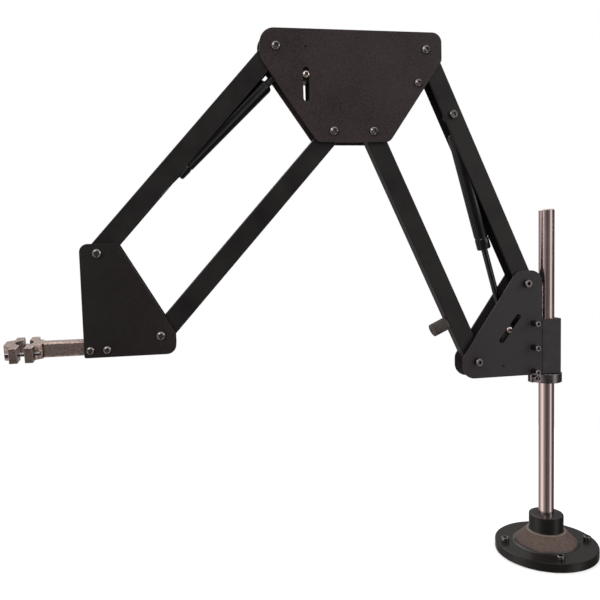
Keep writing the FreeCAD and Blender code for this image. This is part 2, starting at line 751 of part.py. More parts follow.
def build_spring(label, start, aim):
    angle = math.degrees(math.atan2(aim[1] - start[1], aim[0] - start[0]))
    distance = math.dist(start, aim)
    place = along(start, angle)
    axis_turn = Rotation(Vector(0, 1, 0), 90)
    spring_tube(label, place)
    spring_eye(label + "_tube_eye", place, "eye_reach", "anchor_pin_dia + running_gap * 2")
    spring_eye(label + "_rod_eye", along(aim, angle + 180), "rod_eye_reach", "small_dia + open_eye_play * 2")
    rod_tip = distance - v.rod_eye_reach
    rod = new_body(label + "_rod")
    rod_round = new_sketch(rod, "round")
    add_circle(rod_round, 0, 0, "rod_dia / 2", 5)
    pad(rod, rod_round, "rod_long")
    rod.Placement = place.multiply(Placement(Vector(rod_tip - v.rod_long, 0, 0), axis_turn))
    keep(rod)
    piston = new_body(label + "_piston")
    piston_round = new_sketch(piston, "round")
    add_circle(piston_round, 0, 0, "spring_dia / 2 - spring_wall - running_gap", 9)
    pad(piston, piston_round, "piston_thick")
    piston_place = Placement(Vector(rod_tip - v.rod_long - v.piston_thick, 0, 0), axis_turn)
    piston.Placement = place.multiply(piston_place)
    keep(piston)


# The rod eyes stand a little off their pins at rest, so that the pins stay inside the bores.
lower_aim = shifted(lower_slider, 0.6, 1.7)
upper_aim = shifted(upper_anchor, 0.7, -2.6)
build_spring("lower_spring", lower_anchor, lower_aim)
build_spring("upper_spring", upper_eye, upper_aim)

# Sliders on the slot screws. Each carries one gas spring and is set by a long screw in a cross pin.
clear = v.eye_dia / 2 + v.open_eye_play + 0.5
bridge = 8.0
lower_screw_run = (lower_slider[0] - lower_trunnion[0], lower_slider[1] - lower_trunnion[1])
lower_screw_angle = math.degrees(math.atan2(lower_screw_run[1], lower_screw_run[0]))
slider = new_body("lower_anchor_slider")
slider_outline = new_sketch(slider, "outline")
side = v.slider_wide / 2
add_outline(slider_outline, [(-clear - bridge, -side, 1), (side, -side, side * 0.9),
                             (side, side, side * 0.9), (-clear - bridge, side, 1)])
pad(slider, slider_outline, "plate_gap - side_gap * 2", midplane=True)
slider_mouth = new_sketch(slider, "mouth")
add_outline(slider_mouth, [(-clear, -side - 1, 0), (side + 1, -side - 1, 0), (side + 1, side + 1, 0),
                           (-clear, side + 1, 0)])
pocket(slider, slider_mouth, "eye_thick + 1")
drill(slider, "screw_hole", [(0, 0)], "small_dia / 2 + running_gap", 3)
slider.Placement = along(lower_slider, lower_screw_angle)
keep(slider)

upper_block = new_body("upper_anchor_slider")
eye_dx = upper_eye[0] - upper_slider[0]
eye_dz = upper_eye[1] - upper_slider[1]
fork_side = 9.0
arm_sketch = new_sketch(upper_block, "arm")
add_outline(arm_sketch, [(eye_dx - fork_side, eye_dz - fork_side, fork_side * 0.95),
                         (side, -side, 1), (side, side, 1), (-side * 0.6, side, 1),
                         (eye_dx - fork_side, eye_dz + fork_side, fork_side * 0.95)])
pad(upper_block, arm_sketch, "fork_wide", midplane=True)
cheeks_sketch = new_sketch(upper_block, "cheeks")
add_outline(cheeks_sketch, [(-side, -side, 1), (side, -side, 1), (side, side, 1), (-side, side, 1)])
pad(upper_block, cheeks_sketch, "plate_gap - side_gap * 2", midplane=True)
fork_mouth = new_sketch(upper_block, "mouth")
mouth_end = eye_dx + v.eye_dia / 2 + 1
add_outline(fork_mouth, [(eye_dx - 14, eye_dz - 14, 0), (mouth_end, eye_dz - 14, 0),
                         (mouth_end, eye_dz + 14, 0), (eye_dx - 14, eye_dz + 14, 0)])
pocket(upper_block, fork_mouth, "eye_thick + 1")
drill(upper_block, "screw_hole", [(0, 0)], "small_dia / 2 + running_gap", 3)
drill(upper_block, "pin_hole", [(eye_dx, eye_dz)], "anchor_pin_dia / 2", 4)
upper_block.Placement = along(upper_slider, 0)
keep(upper_block)

eye_pin = new_body("upper_anchor_pin")
eye_pin_round = new_sketch(eye_pin, "round")
add_circle(eye_pin_round, 0, 0, "anchor_pin_dia / 2", 4)
pad(eye_pin, eye_pin_round, "fork_wide", midplane=True)
eye_pin.Placement = along(upper_eye, 0)
keep(eye_pin)

slot_screw = screw("slot_screw_shape", "small_dia", "plate_gap + plate_thick + 1", "slot_head_dia",
                   "small_head_tall * 0.5", 4, "small_dia * 0.1")
group("lower_slot_screw", slot_screw, [front(*lower_slider, -plate_face)])
group("upper_slot_screw", slot_screw, [front(*upper_slider, -plate_face)])


def adjuster(label, trunnion, slider_point, slider_back, head_room):
    """Cross pin held by the plates, and the screw through it that pushes the slider."""
    angle = math.degrees(math.atan2(slider_point[1] - trunnion[1], slider_point[0] - trunnion[0]))
    barrel = cylinder(label + "_barrel", "trunnion_dia", "plate_gap - side_gap * 2",
                      Vector(0, 0, -half_gap + v.side_gap))
    ends = cylinder(label + "_ends", "trunnion_end_dia", "plate_gap + plate_thick * 2",
                    Vector(0, 0, -plate_face))
    solid = fuse(label + "_solid", [barrel, ends])
    thread = cylinder(label + "_thread", "small_dia", "trunnion_dia * 2",
                      Vector(-v.trunnion_dia, 0, 0), Rotation(Vector(0, 1, 0), 90))
    pin = cut(label + "_cross_pin", solid, thread)
    pin.Placement = along(trunnion, angle)
    keep(pin)
    distance = math.dist(trunnion, slider_point)
    shank_long = distance + head_room - slider_back
    turn = Rotation(Vector(0, 1, 0), 90)
    head_start = Vector(-head_room - v.small_head_tall, 0, 0)
    shank = cylinder(label + "_shank", "small_dia", "%.6f" % shank_long, Vector(-head_room, 0, 0), turn)
    head = cylinder(label + "_head", "small_head_dia", "small_head_tall", head_start, turn)
    whole = fuse(label + "_whole", [shank, head])
    socket = doc.addObject("Part::Prism", label + "_socket")
    socket.Polygon = 6
    bind(socket, "Circumradius", "small_head_dia * 0.28")
    bind(socket, "Height", "small_head_tall * 0.6")
    socket.Placement = Placement(head_start, turn)
    adjusting = cut(label + "_adjusting_screw", whole, socket)
    adjusting.Placement = along(trunnion, angle)
    keep(adjusting)


adjuster("lower", lower_trunnion, lower_slider, clear + bridge, 9.0)
adjuster("upper", upper_trunnion, upper_slider, side, 17.0)

# Spacer between the elbow plates: the lower outer link comes to rest on it.
spacer = new_body("stop_spacer")
spacer_round = new_sketch(spacer, "round")
add_circle(spacer_round, 0, 0, "stop_dia / 2", 6)
pad(spacer, spacer_round, "plate_gap", midplane=True)
drill(spacer, "thread", [(0, 0)], "small_dia / 2", 3)
spacer.Placement = along(stop_centre, 0)
keep(spacer)
stop_screw = screw("stop_screw_shape", "small_dia", "plate_thick + 9", "cap_head_dia",
                   "button_head_tall", 4, "button_head_tall * 0.5")
group("stop_screws", stop_screw, [front(*stop_centre, -plate_face), back(*stop_centre, plate_face)])

# Steel bar between the head plates, with a bore in its outer end for the clamp's shank.
bar = new_body("extension_bar")
bar_section = new_sketch(bar, "outline")
bar_centre = head_outer[1] - v.bar_drop
bar_low = bar_centre - v.bar_tall / 2
bar_high = bar_centre + v.bar_tall / 2
bar_end = head_outer[0] - v.bar_out
bar_root = head_outer[0] + v.bar_in
add_outline(bar_section, [(bar_end, bar_low, 0), (bar_root, bar_low, 0),
                          (bar_root, bar_high, 0), (bar_end, bar_high, 0)])
pad(bar, bar_section, "plate_gap - side_gap * 2", midplane=True)
soften(bar, "bar_break", "Chamfer")
drill(bar, "threads", bar_screw_places, "small_dia / 2", 3)
shank_hole = new_sketch(bar, "shank_hole", "YZ_Plane")
shank_hole.AttachmentOffset = Placement(Vector(0, 0, bar_end), Rotation())
add_circle(shank_hole, bar_centre, 0, "shank_dia / 2 + running_gap", 6)
pocket(bar, shank_hole, "shank_long + 1", midplane=False, reverse=True)
set_screw_x = bar_end + 9
set_seat = new_sketch(bar, "set_screw_hole", "XZ_Plane")
add_circle(set_seat, set_screw_x, 0, "grub_dia / 2", 3)
pocket(bar, set_seat, "%.6f" % bar_centre, midplane=False)
bar.Placement = Placement(Vector(), UPRIGHT)
keep(bar)

# Set screw from below: it locks the clamp's shank in the bar.
set_screw = new_body("clamp_set_screw")
set_round = new_sketch(set_screw, "round")
add_circle(set_round, 0, 0, "grub_dia / 2", 3)
pad(set_screw, set_round, "( bar_tall - shank_dia ) / 2 - side_gap")
set_socket = new_sketch(set_screw, "socket")
add_hexagon(set_socket, 0, 0, v.grub_dia / 2)
pocket(set_screw, set_socket, "grub_dia / 3", midplane=False, reverse=True)
set_screw.Placement.Base = Vector(set_screw_x, 0, bar_low)
keep(set_screw)

bar_screw = screw("bar_screw", "small_dia", "plate_thick + 9", "bar_head_dia",
                  "button_head_tall * 0.8", 4, "button_head_tall * 0.4")
bar_fasteners = [front(x, z, -plate_face) for x, z in bar_screw_places]
bar_fasteners += [back(x, z, plate_face) for x, z in bar_screw_places]
group("bar_screws", bar_screw, bar_fasteners)


clamp_x = bar_end - v.clamp_bore / 2 - v.clamp_wall - v.side_gap
bolt_offset = v.clamp_bore / 2 + v.clamp_bolt_margin


def jaw(label, direction):
    """One half of the tool clamp; direction +1 is the half on the bar's side."""
    half_split = v.clamp_gap / 2
    outer = v.clamp_bore / 2 + v.clamp_wall
    body = new_body(label)
    sketch = new_sketch(body, "outline")
    reach_x = direction * outer
    ear_end = v.clamp_bore / 2 + v.ear_margin
    ear_x = direction * (half_split + v.ear_thick)
    start = direction * half_split
    add_outline(sketch, [
        (start, -ear_end, 1),
        (ear_x, -ear_end, 1),
        (ear_x, -outer * 0.62, 1),
        (reach_x, -outer * 0.42, 2),
        (reach_x, outer * 0.42, 2),
        (ear_x, outer * 0.62, 1),
        (ear_x, ear_end, 1),
        (start, ear_end, 1),
    ])
    pad(body, sketch, "clamp_tall", midplane=True)
    soften(body, "rim_break")
    drill(body, "tool_bore", [(0, 0)], "clamp_bore / 2", 16)
    bolt_holes = new_sketch(body, "bolt_holes", "YZ_Plane")
    for y in (-bolt_offset, bolt_offset):
        add_circle(bolt_holes, y, 0, "small_dia / 2 + running_gap", 3)
    pocket(body, bolt_holes, "clamp_bolt_long * 3")
    return body


tilt = Placement(Vector(clamp_x, 0, bar_centre), Rotation(Vector(1, 0, 0), v.clamp_tilt))
inner_jaw = jaw("clamp_inner_jaw", 1)
shank_sketch = new_sketch(inner_jaw, "shank", "YZ_Plane")
shank_start = v.clamp_bore / 2 + v.clamp_wall / 2
shank_sketch.AttachmentOffset = Placement(Vector(0, 0, shank_start), Rotation())
add_circle(shank_sketch, 0, 0, "shank_dia / 2", 6)
shank_pad = inner_jaw.newObject("PartDesign::Pad", "shank_pad")
shank_pad.Profile = shank_sketch
shank_pad.Length = bar_end - clamp_x - shank_start + v.shank_long
doc.recompute()
inner_jaw.Placement = tilt
keep(inner_jaw)
outer_jaw = jaw("clamp_outer_jaw", -1)
outer_jaw.Placement = tilt
keep(outer_jaw)
clamp_bolt = screw("clamp_bolt", "small_dia", "clamp_bolt_long", "small_head_dia", "small_head_tall", 5,
                   "small_dia * 0.1")
clamp_bolt_places = []
for y in (-bolt_offset, bolt_offset):
    seat_x = -v.clamp_gap / 2 - v.ear_thick
    clamp_bolt_places.append(tilt.multiply(Placement(Vector(seat_x, y, 0), Rotation(Vector(0, 1, 0), -90))))
group("clamp_bolts", clamp_bolt, clamp_bolt_places)

doc.recompute()
for item in doc.Objects:
    if "Invalid" in item.State or "Error" in item.State:
        raise RuntimeError("failed: " + item.Label)
for piece in parts:
    if piece.Shape.isNull() or not piece.Shape.isValid():
        raise RuntimeError("bad shape: " + piece.Label)
os.makedirs("parts", exist_ok=True)
for piece in parts:
    piece.Shape.exportStep("parts/" + piece.Label + ".step")
print(len(parts), "nodes")
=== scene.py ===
import json
import math

import bpy
from mathutils import Matrix, Vector


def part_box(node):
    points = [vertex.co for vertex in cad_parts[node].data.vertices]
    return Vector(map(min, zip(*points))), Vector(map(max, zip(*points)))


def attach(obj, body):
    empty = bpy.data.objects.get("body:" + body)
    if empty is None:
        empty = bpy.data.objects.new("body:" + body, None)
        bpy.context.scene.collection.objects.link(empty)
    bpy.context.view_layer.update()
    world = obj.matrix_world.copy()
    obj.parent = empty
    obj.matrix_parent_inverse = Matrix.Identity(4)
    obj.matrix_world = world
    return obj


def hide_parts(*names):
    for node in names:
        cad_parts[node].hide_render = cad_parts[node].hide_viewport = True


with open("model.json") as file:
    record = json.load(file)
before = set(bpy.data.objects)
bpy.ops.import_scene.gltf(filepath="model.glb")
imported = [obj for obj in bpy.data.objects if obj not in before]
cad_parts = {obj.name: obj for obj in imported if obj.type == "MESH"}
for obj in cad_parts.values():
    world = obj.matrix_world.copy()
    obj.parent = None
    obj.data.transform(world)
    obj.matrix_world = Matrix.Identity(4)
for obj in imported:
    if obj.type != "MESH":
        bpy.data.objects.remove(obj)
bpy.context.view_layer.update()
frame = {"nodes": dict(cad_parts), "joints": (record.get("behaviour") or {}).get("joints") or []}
joint_place = {joint["name"]: Vector(joint["pos_m"]) for joint in frame["joints"] if "pos_m" in joint}


# Camera: left of the arm's middle, level with the upper pivot of its head.
# It looks a little down and leans by a degree and a half.
eye = (-0.5919, -0.9976, 0.5205)
sight_yaw = math.radians(10.10)
sight_pitch = math.radians(-4.38)
sight_lean = -0.0271
ahead = Vector((math.sin(sight_yaw) * math.cos(sight_pitch),
                math.cos(sight_yaw) * math.cos(sight_pitch),
                math.sin(sight_pitch)))
flat_right = Vector((math.cos(sight_yaw), -math.sin(sight_yaw), 0))
plumb_up = flat_right.cross(ahead)
right = flat_right * math.cos(sight_lean) + plumb_up * math.sin(sight_lean)
up = plumb_up * math.cos(sight_lean) - flat_right * math.sin(sight_lean)
camera = bpy.data.objects.new("camera", bpy.data.cameras.new("camera"))
bpy.context.scene.collection.objects.link(camera)
camera.data.sensor_width = 36
camera.data.lens = 39.5
camera.matrix_world = (Matrix.Translation(eye)
                       @ Matrix((right, up, -ahead)).transposed().to_4x4())
bpy.context.scene.camera = camera
bpy.context.scene.view_settings.view_transform = "Standard"


def linear(code):
    """Linear colour of an sRGB hex value."""
    shares = [int(code[i:i + 2], 16) / 255 for i in (1, 3, 5)]
    return [s / 12.92 if s <= 0.04045 else ((s + 0.055) / 1.055) ** 2.4 for s in shares] + [1.0]


def add_node(holder, kind, feeds, **settings):
    """One shader node: its settings, and for each input a value or the output that feeds it."""
    made = holder.node_tree.nodes.new(kind)
    for name, value in settings.items():
        setattr(made, name, value)
    for name, value in feeds.items():
        if isinstance(value, bpy.types.NodeSocket):
            holder.node_tree.links.new(value, made.inputs[name])
        else:
            made.inputs[name].default_value = value
    return made


# Studio: a plain white floor in a white room, with soft lamps.
# What the steel mirrors is dimmer: a dark room with a wide window on the left and a narrow one on
# the right, and a pale ceiling, so that round pieces get upright bands and edges get thin lights.
bpy.ops.object.select_all(action="DESELECT")
floor_radius, floor_centre = 1.05, (-0.38, 0, -0.0004)
bpy.ops.mesh.primitive_circle_add(
    vertices=96, radius=floor_radius, fill_type="NGON", location=floor_centre)
floor = bpy.context.object
floor.name = "floor"
floor.visible_glossy = False
floor_vinyl = bpy.data.materials.new("floor_vinyl")
floor_vinyl.use_nodes = True
vinyl_shader = floor_vinyl.node_tree.nodes["Principled BSDF"]
vinyl_shader.inputs["Base Color"].default_value = linear("#ffffff")
vinyl_shader.inputs["Roughness"].default_value = 0.9
vinyl_shader.inputs["Specular IOR Level"].default_value = 0.1
floor.data.materials.append(floor_vinyl)

surround = bpy.data.worlds.new("studio")
bpy.context.scene.world = surround
surround.use_nodes = True
surround.node_tree.nodes.clear()
facing = add_node(surround, "ShaderNodeTexCoord", {})
split = add_node(surround, "ShaderNodeSeparateXYZ", {"Vector": facing.outputs["Generated"]})
front_back = add_node(surround, "ShaderNodeMath",
    {0: split.outputs["Y"], 1: -1.0}, operation="MULTIPLY")
bearing = add_node(surround, "ShaderNodeMath",
    {0: split.outputs["X"], 1: front_back.outputs[0]}, operation="ARCTAN2")
share = add_node(surround, "ShaderNodeMapRange",
    {"Value": bearing.outputs[0], "From Min": -math.pi, "From Max": math.pi})
walls = add_node(surround, "ShaderNodeValToRGB", {"Fac": share.outputs[0]})
walls.color_ramp.interpolation = "EASE"
wall_lights = (
    (-175, 0.25), (-145, 0.4), (-125, 0.7), (-110, 0.95), (-97, 1.7), (-82, 1.4), (-66, 0.6),
    (-52, 0.36), (-40, 0.2), (-25, 0.1), (5, 0.18), (20, 0.3), (30, 1.3), (44, 1.3), (54, 0.4),
    (66, 0.14), (90, 0.06), (150, 0.3))
green_share, blue_share = 0.94, 0.92
for degrees, light in wall_lights:
    stop = walls.color_ramp.elements.new((degrees + 180) / 360)
    stop.color = (light, light * green_share, light * blue_share, 1)
ceiling = add_node(surround, "ShaderNodeMapRange",
    {"Value": split.outputs["Z"], "From Min": 0.35, "From Max": 0.75, "To Max": 0.9})
both = add_node(surround, "ShaderNodeMix",
    {"Factor": 1.0, "A": walls.outputs[0], "B": ceiling.outputs[0]},
    data_type="RGBA", blend_type="ADD")
white = add_node(surround, "ShaderNodeBackground", {"Color": linear("#ffffff"), "Strength": 1.0})
around = add_node(surround, "ShaderNodeBackground", {"Color": both.outputs[2], "Strength": 1.0})
ray = add_node(surround, "ShaderNodeLightPath", {})
chosen = add_node(surround, "ShaderNodeMixShader",
    {0: ray.outputs["Is Glossy Ray"], 1: white.outputs[0], 2: around.outputs[0]})
add_node(surround, "ShaderNodeOutputWorld", {"Surface": chosen.outputs[0]})

lamp_target = Vector((-0.3, 0, 0.35))
for name, place, size, watts in (("key_lamp", (-1.9, -1.7, 2.1), 1.3, 30),
                                 ("right_lamp", (1.7, -1.3, 1.3), 1.0, 15),
                                 ("rear_lamp", (-0.3, 1.9, 2.2), 1.6, 20)):
    lamp = bpy.data.objects.new(name, bpy.data.lights.new(name, "AREA"))
    lamp.data.size = size
    lamp.data.energy = watts
    lamp.location = place
    lamp.rotation_euler = (lamp_target - Vector(place)).to_track_quat("-Z", "Y").to_euler()
    bpy.context.scene.collection.objects.link(lamp)


# Base casting: a grey iron casting, turned on top and painted black; its cone is left with a thin
# brown primer. Flange, cone and hub are one piece, and the column sits in the hub's bore.
MM = 0.001


def turned(name, rings, sides):
    """A turned piece, drawn up from ring to ring of (radius, level) in mm.

    A last ring that repeats the first one makes it hollow.
    """
    bpy.ops.object.select_all(action="DESELECT")
    hollow = rings[-1] == rings[0]
    radius, level = rings[0]
    bpy.ops.mesh.primitive_circle_add(vertices=sides, radius=radius * MM,
                                      fill_type="NOTHING" if hollow else "NGON")
    piece = bpy.context.object
    piece.name = name
    bpy.ops.object.mode_set(mode="EDIT")
    bpy.ops.mesh.select_all(action="SELECT")
    bpy.ops.transform.translate(value=(0, 0, level * MM))
    for next_radius, next_level in rings[1:]:
        bpy.ops.mesh.extrude_region_move(
            TRANSFORM_OT_translate={"value": (0, 0, (next_level - level) * MM)})
        grow = next_radius / radius
        bpy.ops.transform.resize(value=(grow, grow, 1), center_override=(0, 0, 0))
        radius, level = next_radius, next_level
    bpy.ops.mesh.select_all(action="SELECT")
    bpy.ops.mesh.remove_doubles(threshold=0.00001)
    bpy.ops.mesh.normals_make_consistent(inside=False)
    bpy.ops.object.mode_set(mode="OBJECT")
    return piece


def bore(piece, sides, radius, low, high, at=Matrix()):
    """Cuts a round or cornered hole, in mm along the piece's own Z, through a placement."""
    bpy.ops.object.select_all(action="DESELECT")
    bpy.ops.mesh.primitive_cylinder_add(vertices=sides, radius=radius * MM, depth=(high - low) * MM)
    tool = bpy.context.object
    tool.data.transform(at @ Matrix.Translation((0, 0, (low + high) / 2 * MM)))
    bpy.context.view_layer.objects.active = piece
    cutter = piece.modifiers.new("bore", "BOOLEAN")
    cutter.object = tool
    cutter.solver = "EXACT"
    bpy.ops.object.modifier_apply(modifier="bore")
    bpy.data.objects.remove(tool)


def smooth(piece, degrees=32):
    """Shades a piece smooth up to an angle between its faces."""
    bpy.ops.object.select_all(action="DESELECT")
    piece.select_set(True)
    bpy.context.view_layer.objects.active = piece
    bpy.ops.object.shade_smooth_by_angle(angle=math.radians(degrees))


def fit(piece, material, body, slot, *cad_nodes):
    """Gives a new piece its material, its body and the CAD nodes it stands for."""
    piece.data.materials.append(material)
    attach(piece, body)
    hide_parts(*cad_nodes)


def start_material(name, metallic, roughness):
    """A new material, its shader and the Object coordinates in metres."""
    made = bpy.data.materials.new(name)
    made.use_nodes = True
    shader = made.node_tree.nodes["Principled BSDF"]
    shader.inputs["Metallic"].default_value = metallic
    shader.inputs["Roughness"].default_value = roughness
    return made, shader, add_node(made, "ShaderNodeTexCoord", {}).outputs["Object"]


casting = turned("base_casting", [
    (83.0, 0.0), (83.5, 0.6), (83.5, 12.6), (83.1, 13.8), (82.0, 14.5), (56.5, 14.5), (53.4, 14.8),
    (51.4, 15.8), (50.3, 17.2), (44.3, 23.4), (38.2, 29.8), (33.4, 34.9), (32.3, 36.0), (31.2, 36.5),
    (29.2, 36.8), (28.3, 37.6), (28.0, 39.0), (28.0, 62.0), (27.5, 63.1), (26.4, 63.5)], sides=144)
bore(casting, sides=72, radius=12.5, low=6.0, high=70.0)
bolt_circle_radius = 0.069
bolt_turns = [math.radians(78 + 90 * quarter) for quarter in range(4)]
bolt_spots = [Vector((bolt_circle_radius * math.cos(turn), bolt_circle_radius * math.sin(turn), 0))
              for turn in bolt_turns]
for spot in bolt_spots:
    bore(casting, sides=32, radius=4.5, low=-5.0, high=20.0, at=Matrix.Translation(spot))
smooth(casting)

# Cast iron under satin paint: a sandy grain of about 2 mm, drawn at 4 mm so that it shows, and a
# brown-grey primer on the cone that the black coat thins out over.
cast_paint, shader, here = start_material("painted_cast_iron", metallic=0.0, roughness=0.5)
shader.inputs["Specular IOR Level"].default_value = 0.2
height = add_node(cast_paint, "ShaderNodeSeparateXYZ", {"Vector": here}).outputs["Z"]
sand = add_node(cast_paint, "ShaderNodeTexNoise",
    {"Vector": here, "Scale": 260.0, "Detail": 6.0, "Roughness": 0.7})
cloud = add_node(cast_paint, "ShaderNodeTexNoise", {"Vector": here, "Scale": 45.0, "Detail": 3.0})
black = add_node(cast_paint, "ShaderNodeMix",
    {"Factor": sand.outputs["Fac"], "A": linear("#050505"), "B": linear("#1d1a18")},
    data_type="RGBA")
primer = add_node(cast_paint, "ShaderNodeMix",
    {"Factor": sand.outputs["Fac"], "A": linear("#0d0907"), "B": linear("#705c54")},
    data_type="RGBA")
rise = add_node(cast_paint, "ShaderNodeMath",
    {0: cloud.outputs["Fac"], 1: 0.004, 2: height}, operation="MULTIPLY_ADD")
foot = add_node(cast_paint, "ShaderNodeMapRange",
    {"Value": rise.outputs[0], "From Min": 0.0175, "From Max": 0.0215})
brow = add_node(cast_paint, "ShaderNodeMapRange",
    {"Value": rise.outputs[0], "From Min": 0.0392, "From Max": 0.0382})
cone = add_node(cast_paint, "ShaderNodeMath",
    {0: foot.outputs[0], 1: brow.outputs[0]}, operation="MULTIPLY")
thin = add_node(cast_paint, "ShaderNodeMath", {0: cone.outputs[0], 1: 0.85}, operation="MULTIPLY")
coat = add_node(cast_paint, "ShaderNodeMix",
    {"Factor": thin.outputs[0], "A": black.outputs[2], "B": primer.outputs[2]}, data_type="RGBA")
# A pale ring round the cone's top edge, where it meets the hub, is a painted highlight.
cone_top_edge = 0.0365
off_edge = add_node(cast_paint, "ShaderNodeMath",
    {0: height, 1: cone_top_edge}, operation="SUBTRACT")
near_edge = add_node(cast_paint, "ShaderNodeMath", {0: off_edge.outputs[0]}, operation="ABSOLUTE")
painted_highlight_ring = add_node(cast_paint, "ShaderNodeMapRange",
    {"Value": near_edge.outputs[0], "From Min": 0.0008, "From Max": 0.0002, "To Max": 0.35})
highlighted_coat = add_node(cast_paint, "ShaderNodeMix",
    {"Factor": painted_highlight_ring.outputs[0], "A": coat.outputs[2], "B": linear("#94857c")}, data_type="RGBA")
cast_paint.node_tree.links.new(highlighted_coat.outputs[2], shader.inputs["Base Color"])
dull = add_node(cast_paint, "ShaderNodeMapRange",
    {"Value": cone.outputs[0], "To Min": 0.2, "To Max": 0.6})
cast_paint.node_tree.links.new(dull.outputs[0], shader.inputs["Roughness"])
grain = add_node(cast_paint, "ShaderNodeBump",
    {"Height": sand.outputs["Fac"], "Strength": 0.45, "Distance": 0.0006})
cast_paint.node_tree.links.new(grain.outputs[0], shader.inputs["Normal"])
fit(casting, cast_paint, "base", "cast_black", "base_flange")


# Column: a 25 mm ground and polished steel shaft, let into the hub and held by a grub screw.
# Polished round steel shows the room as upright bands; grinding leaves faint rings round it.
def dress(material, *cad_nodes):
    """Gives CAD nodes their material."""
    for name in cad_nodes:
        frame["nodes"][name].data.materials.clear()
        frame["nodes"][name].data.materials.append(material)


ground_steel, shader, here = start_material("ground_shaft_steel", metallic=1.0, roughness=0.16)
shader.inputs["Base Color"].default_value = linear("#c4b2b0")
rings = add_node(ground_steel, "ShaderNodeMapping", {"Vector": here, "Scale": (20.0, 20.0, 1400.0)})
lines = add_node(ground_steel, "ShaderNodeTexNoise",
    {"Vector": rings.outputs[0], "Scale": 1.0, "Detail": 3.0})
haze = add_node(ground_steel, "ShaderNodeTexNoise", {"Vector": here, "Scale": 30.0, "Detail": 3.0})
wipe = add_node(ground_steel, "ShaderNodeMath",
    {0: lines.outputs["Fac"], 1: haze.outputs["Fac"]}, operation="MULTIPLY")
sheen = add_node(ground_steel, "ShaderNodeMapRange",
    {"Value": wipe.outputs[0], "From Min": 0.1, "From Max": 0.4, "To Min": 0.1, "To Max": 0.24})
ground_steel.node_tree.links.new(sheen.outputs[0], shader.inputs["Roughness"])
ridge = add_node(ground_steel, "ShaderNodeBump",
    {"Height": lines.outputs["Fac"], "Strength": 0.05, "Distance": 0.0002})
ground_steel.node_tree.links.new(ridge.outputs[0], shader.inputs["Normal"])
dress(ground_steel, "column")


# Socket cap screws: hardened steel, black oxide finish, with a fluted head and a hexagon socket.
# They hold the base, the collar, the plates on the bearing block, the shoulder pivots and the clamp.
head_sides = 56


def flute(piece, low, high, share):
    """Draws every second upright edge between two levels inwards, which leaves grip grooves."""
    bpy.ops.object.select_all(action="DESELECT")
    piece.select_set(True)
    bpy.context.view_layer.objects.active = piece
    rim = 0.995 * max(math.hypot(v.co.x, v.co.y) for v in piece.data.vertices)
    half_step = math.radians(360 / head_sides)
    for vertex in piece.data.vertices:
        spoke = round(math.atan2(vertex.co.y, vertex.co.x) / half_step)
        vertex.select = (spoke % 2 == 0 and low * MM <= vertex.co.z <= high * MM
                         and math.hypot(vertex.co.x, vertex.co.y) > rim)
    bpy.ops.object.mode_set(mode="EDIT")
    bpy.ops.mesh.select_mode(type="VERT")
    bpy.ops.transform.resize(value=(share, share, 1), center_override=(0, 0, 0))
    bpy.ops.object.mode_set(mode="OBJECT")


def cap_screw(name, shank, long, head, tall, socket, waist=None):
    """A cap screw standing on Z: its head's underside at 0; sizes in mm."""
    r, h = shank / 2, head / 2
    waist_low, shank_high = -14.4, -14.5
    point = [(r * 0.78, -long), (r, -long + r * 0.25)]
    grip = [(r, shank_high), (waist / 2, waist_low), (waist / 2, 0.0)] if waist else [(r, 0.0)]
    crown = [(h - 0.3, 0.0), (h, 0.3), (h, tall * 0.32), (h, tall * 0.64), (h, tall - 0.9),
             (h - 0.15, tall - 0.45), (h - 0.75, tall), (h - 1.3, tall), (h - 1.5, tall - 0.12)]
    model = turned(name, point + grip + crown, head_sides)
    flute(model, low=0.2, high=tall - 0.8, share=0.965)
    bore(model, sides=6, radius=socket / math.sqrt(3), low=tall * 0.42, high=tall + 2)
    smooth(model, degrees=28)
    return model


# Black oxide on steel: a blue-black skin a micron thick, so it shines like dark metal and turns
# brown-grey where tools rub it. Its mottle is drawn at 3 mm. The shaft collar has it too.
black_oxide, shader, here = start_material("black_oxide_steel", metallic=1.0, roughness=0.24)
mottle = add_node(black_oxide, "ShaderNodeTexNoise",
    {"Vector": here, "Scale": 330.0, "Detail": 4.0})
tint = add_node(black_oxide, "ShaderNodeMix",
    {"Factor": mottle.outputs["Fac"], "A": linear("#2a2626"), "B": linear("#969090")},
    data_type="RGBA")
black_oxide.node_tree.links.new(tint.outputs[2], shader.inputs["Base Color"])
polish = add_node(black_oxide, "ShaderNodeMapRange",
    {"Value": mottle.outputs["Fac"], "To Min": 0.16, "To Max": 0.3})
black_oxide.node_tree.links.new(polish.outputs[0], shader.inputs["Roughness"])
dress(black_oxide, "column_grub_screw", "block_screw_sleeves", "clamp_set_screw", "shaft_collar")

to_front = Matrix.Rotation(math.radians(90), 4, "X")
to_back = Matrix.Rotation(math.radians(-90), 4, "X")


def set_out(model, material, body, slot, cad_node, places):
    """Copies of one model, each with its own mesh, at a list of placements; the model itself goes."""
    for number, place in enumerate(places, start=1):
        piece = model.copy()
        piece.data = model.data.copy()
        piece.name = "%s_%d" % (model.name, number)
        bpy.context.scene.collection.objects.link(piece)
        piece.data.transform(place)
        fit(piece, material, body, slot, cad_node)
    bpy.data.objects.remove(model)


flange_top = Vector((0, 0, 0.0145))
base_places = [Matrix.Translation(spot + flange_top) @ Matrix.Rotation(turn, 4, "Z")
               for spot, turn in zip(bolt_spots, bolt_turns)]
set_out(cap_screw("base_cap_screw", shank=8, long=32, head=13, tall=8, socket=6, waist=7.2),
        black_oxide, "base", "black_oxide", "base_screws", base_places)

